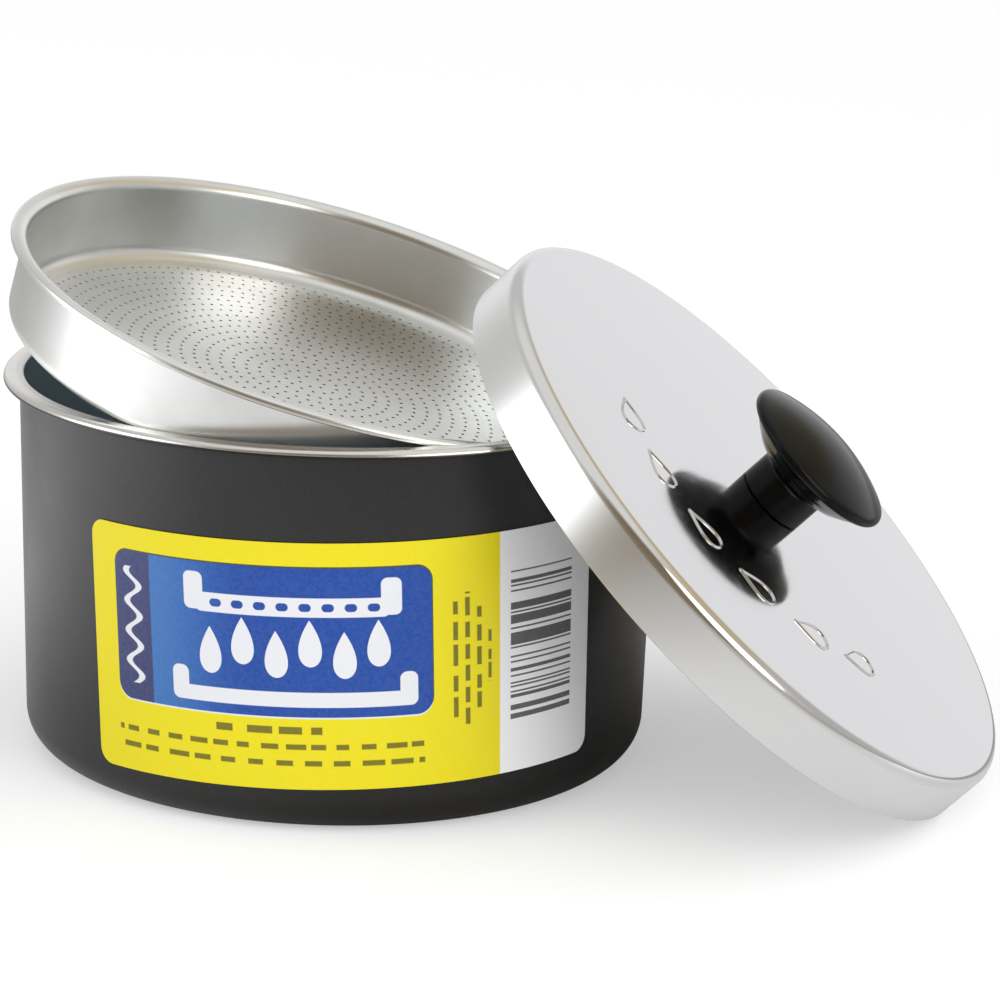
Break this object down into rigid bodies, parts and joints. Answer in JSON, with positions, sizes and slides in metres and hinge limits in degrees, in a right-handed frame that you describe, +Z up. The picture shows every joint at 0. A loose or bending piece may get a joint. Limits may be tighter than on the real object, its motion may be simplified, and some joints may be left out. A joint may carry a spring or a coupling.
{
  "type": "grease container",
  "caption": "Round metal grease pot with a printed label, a perforated strainer pan tipped in its mouth, and a shallow domed lid with a mushroom knob leaning against its flange.",
  "frame": {"origin": "centre of the pot's flat underside, on the ground", "axes": "+Z up along the pot's axis, -Y towards the viewer's side that carries the label, +X towards the leaning lid"},
  "size_m": [0.2037, 0.1568, 0.1092],
  "materials": {
    "charcoal_coating": "satin charcoal non-stick coating with a fine metallic speckle",
    "printed_label": "semi-gloss printed paper label",
    "strainer_aluminium": "satin",
    "polished_aluminium": "mirror-polished top, satin skirt",
    "black_plastic": "glossy black",
    "brass": "turned",
    "zinc_steel": "zinc plated"
  },
  "bodies": {
    "container": {"container_pot": "charcoal_coating", "container_label": "printed_label"},
    "strainer": {"strainer_pan": "strainer_aluminium"},
    "lid": {"lid_shell": "polished_aluminium", "lid_knob": "black_plastic", "knob_insert": "brass", "knob_screw": "zinc_steel", "screw_washer": "zinc_steel"}
  },
  "joints": [
    {"name": "lid_lift", "type": "slide", "parent": "container", "child": "lid", "axis": [0.6776, -0.1639, 0.7169], "range_m": [0, 0.12]},
    {"name": "strainer_lift", "type": "slide", "parent": "container", "child": "strainer", "axis": [-0.8175, 0.3336, 0.4695], "range_m": [0, 0.15]}
  ]
}
